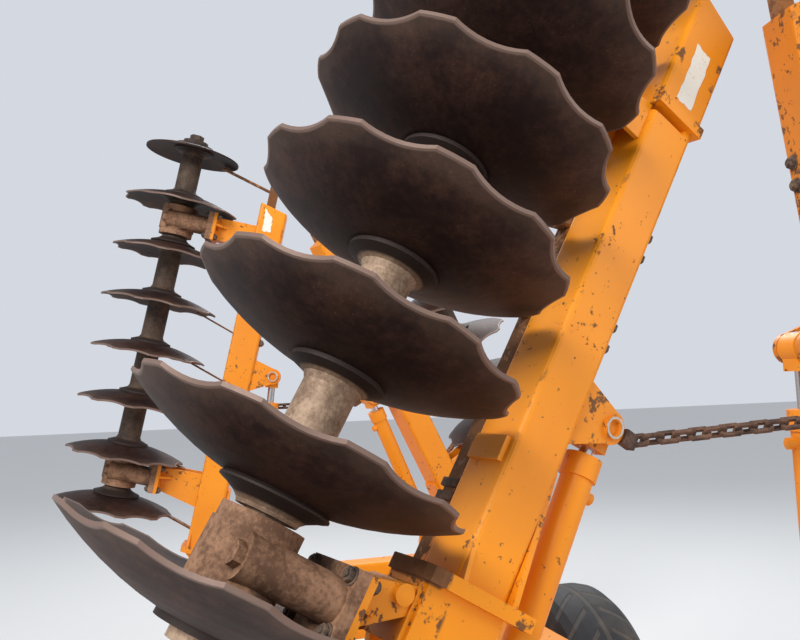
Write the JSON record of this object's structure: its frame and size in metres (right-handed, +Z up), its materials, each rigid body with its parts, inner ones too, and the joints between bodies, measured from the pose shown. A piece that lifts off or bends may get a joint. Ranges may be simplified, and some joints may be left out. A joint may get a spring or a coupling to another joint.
{
  "type": "disc harrow",
  "caption": "Folding trailed tandem disc harrow with dished discs on four gangs, folded upright over a wheeled chassis with a drawbar and a screw jack.",
  "frame": {"origin": "on the ground, under the middle of the machine's outline", "axes": "+X forward to the hitch, +Y to the machine's left, +Z up"},
  "size_m": [4.6941, 2.5981, 2.8647],
  "materials": {
    "paint": "satin, worn",
    "worn_paint": "satin, worn and dusty",
    "hub_rust": "matt, rusted",
    "disc_rust": "matt, rusted, with bright worn rims",
    "rod": "polished",
    "tyre": "matt",
    "rim": "matt, worn",
    "steel": "dull"
  },
  "bodies": {
    "chassis": {"rail_right": "paint", "rail_left": "paint", "front_cross": "paint", "rear_cross": "paint", "middle_cross": "paint", "drawbar_right": "paint", "drawbar_left": "paint", "drawbar_nose": "paint", "hitch_eye": "hub_rust", "jack_tube": "paint"},
    "jack": {"jack_leg": "steel"},
    "wheel_lift": {"wheel_shaft": "paint", "wheel_arm_right": "paint", "wheel_arm_left": "paint"},
    "lift_ram_barrel": {"lift_barrel": "paint"},
    "lift_ram_rod": {"lift_rod": "rod"},
    "wheel_right": {"rim_right": "rim", "tyre_right": "tyre"},
    "wheel_left": {"rim_left": "rim", "tyre_left": "tyre"},
    "front_right_wing": {"front_right_beam": "paint", "front_right_arms": "paint", "front_right_bearings": "hub_rust", "front_right_scrapers": "worn_paint", "front_chain": "hub_rust"},
    "front_right_gang": {"front_right_discs": "disc_rust", "front_right_spools": "hub_rust"},
    "front_right_ram_barrel": {"front_right_barrel": "paint"},
    "front_right_ram_rod": {"front_right_rod": "rod"},
    "front_left_wing": {"front_left_beam": "paint", "front_left_arms": "paint", "front_left_bearings": "hub_rust", "front_left_scrapers": "worn_paint"},
    "front_left_gang": {"front_left_discs": "disc_rust", "front_left_spools": "hub_rust"},
    "front_left_ram_barrel": {"front_left_barrel": "paint"},
    "front_left_ram_rod": {"front_left_rod": "rod"},
    "rear_right_wing": {"rear_right_beam": "paint", "rear_right_arms": "paint", "rear_right_bearings": "hub_rust", "rear_right_scrapers": "worn_paint"},
    "rear_right_gang": {"rear_right_discs": "disc_rust", "rear_right_spools": "hub_rust"},
    "rear_right_ram_barrel": {"rear_right_barrel": "paint"},
    "rear_right_ram_rod": {"rear_right_rod": "rod"},
    "rear_left_wing": {"rear_left_beam": "paint", "rear_left_arms": "paint", "rear_left_bearings": "hub_rust", "rear_left_scrapers": "worn_paint", "rear_chain": "hub_rust"},
    "rear_left_gang": {"rear_left_discs": "disc_rust", "rear_left_spools": "hub_rust"},
    "rear_left_ram_barrel": {"rear_left_barrel": "paint"},
    "rear_left_ram_rod": {"rear_left_rod": "rod"}
  },
  "joints": [
    {"name": "front_right_fold", "type": "hinge", "parent": "chassis", "child": "front_right_wing", "pos_m": [0.505, -0.6408, 0.81], "axis": [0.9781, 0.2079, 0], "range_deg": [0, 121]},
    {"name": "front_right_gang_spin", "type": "hinge", "parent": "front_right_wing", "child": "front_right_gang", "pos_m": [0.56342, -0.91563, 1.27048], "axis": [-0.1071, 0.5038, 0.8572], "continuous": true},
    {"name": "front_right_ram_pivot", "type": "hinge", "parent": "chassis", "child": "front_right_ram_barrel", "pos_m": [0.4655, -0.45495, 0.885], "axis": [0.9781, 0.2079, 0], "range_deg": [0, 118.06]},
    {"name": "front_right_ram_slide", "type": "slide", "parent": "front_right_ram_barrel", "child": "front_right_ram_rod", "axis": [-0.0987, 0.4644, 0.8801], "range_m": [0, 0.3525]},
    {"name": "front_left_fold", "type": "hinge", "parent": "chassis", "child": "front_left_wing", "pos_m": [0.505, 0.5792, 0.81], "axis": [-0.9781, 0.2079, 0], "range_deg": [0, 98]},
    {"name": "front_left_gang_spin", "type": "hinge", "parent": "front_left_wing", "child": "front_left_gang", "pos_m": [0.59618, 1.00817, 1.12409], "axis": [-0.0289, -0.1361, 0.9903], "continuous": true},
    {"name": "front_left_ram_pivot", "type": "hinge", "parent": "chassis", "child": "front_left_ram_barrel", "pos_m": [0.4655, 0.39335, 0.885], "axis": [-0.9781, 0.2079, 0], "range_deg": [0, 91.45]},
    {"name": "front_left_ram_slide", "type": "slide", "parent": "front_left_ram_barrel", "child": "front_left_ram_rod", "axis": [-0.0063, -0.0297, 0.9995], "range_m": [0, 0.287]},
    {"name": "rear_right_fold", "type": "hinge", "parent": "chassis", "child": "rear_right_wing", "pos_m": [-2.005, -0.6408, 0.81], "axis": [0.9781, -0.2079, 0], "range_deg": [0, 103]},
    {"name": "rear_right_gang_spin", "type": "hinge", "parent": "rear_right_wing", "child": "rear_right_gang", "pos_m": [-2.09014, -1.04136, 1.16112], "axis": [0.0468, 0.22, 0.9744], "continuous": true},
    {"name": "rear_right_ram_pivot", "type": "hinge", "parent": "chassis", "child": "rear_right_ram_barrel", "pos_m": [-1.9655, -0.45495, 0.885], "axis": [0.9781, -0.2079, 0], "range_deg": [0, 97.01]},
    {"name": "rear_right_ram_slide", "type": "slide", "parent": "rear_right_ram_barrel", "child": "rear_right_ram_rod", "axis": [0.0264, 0.1243, 0.9919], "range_m": [0, 0.303]},
    {"name": "rear_left_fold", "type": "hinge", "parent": "chassis", "child": "rear_left_wing", "pos_m": [-2.005, 0.5792, 0.81], "axis": [-0.9781, -0.2079, 0], "range_deg": [0, 118]},
    {"name": "rear_left_gang_spin", "type": "hinge", "parent": "rear_left_wing", "child": "rear_left_gang", "pos_m": [-2.06835, 0.87722, 1.25514], "axis": [0.0976, -0.4592, 0.8829], "continuous": true},
    {"name": "rear_left_ram_pivot", "type": "hinge", "parent": "chassis", "child": "rear_left_ram_barrel", "pos_m": [-1.9655, 0.39335, 0.885], "axis": [-0.9781, -0.2079, 0], "range_deg": [0, 114.44]},
    {"name": "rear_left_ram_slide", "type": "slide", "parent": "rear_left_ram_barrel", "child": "rear_left_ram_rod", "axis": [0.087, -0.4092, 0.9083], "range_m": [0, 0.3453]},
    {"name": "wheel_lift", "type": "hinge", "parent": "chassis", "child": "wheel_lift", "pos_m": [-0.5, -0.0308, 0.6], "axis": [0, 1, 0], "range_deg": [0, 28]},
    {"name": "lift_ram_pivot", "type": "hinge", "parent": "chassis", "child": "lift_ram_barrel", "pos_m": [0.285, -0.0308, 0.8325], "axis": [0, 1, 0], "range_deg": [-0.72, 0.3]},
    {"name": "lift_ram_slide", "type": "slide", "parent": "lift_ram_barrel", "child": "lift_ram_rod", "axis": [-0.9996, 0, 0.0284], "range_m": [-0.1267, 0]},
    {"name": "wheel_spin_right", "type": "hinge", "parent": "wheel_lift", "child": "wheel_right", "pos_m": [-0.95, -0.6208, 0.422], "axis": [0, 1, 0], "continuous": true},
    {"name": "wheel_spin_left", "type": "hinge", "parent": "wheel_lift", "child": "wheel_left", "pos_m": [-0.95, 0.5592, 0.422], "axis": [0, 1, 0], "continuous": true},
    {"name": "jack_slide", "type": "slide", "parent": "chassis", "child": "jack", "axis": [0, 0, 1], "range_m": [0, 0.16]}
  ],
  "couplings": [
    {"joint": "front_right_ram_pivot", "follows": "front_right_fold", "ratio": 0.97153},
    {"joint": "front_right_ram_slide", "follows": "front_right_fold", "m_per_rad": 0.16642},
    {"joint": "front_left_ram_pivot", "follows": "front_left_fold", "ratio": 0.92805},
    {"joint": "front_left_ram_slide", "follows": "front_left_fold", "m_per_rad": 0.16722},
    {"joint": "rear_right_ram_pivot", "follows": "rear_right_fold", "ratio": 0.93702},
    {"joint": "rear_right_ram_slide", "follows": "rear_right_fold", "m_per_rad": 0.16801},
    {"joint": "rear_left_ram_pivot", "follows": "rear_left_fold", "ratio": 0.9656},
    {"joint": "rear_left_ram_slide", "follows": "rear_left_fold", "m_per_rad": 0.16718},
    {"joint": "lift_ram_pivot", "follows": "wheel_lift", "ratio": -0.015136},
    {"joint": "lift_ram_slide", "follows": "wheel_lift", "m_per_rad": -0.25716}
  ]
}
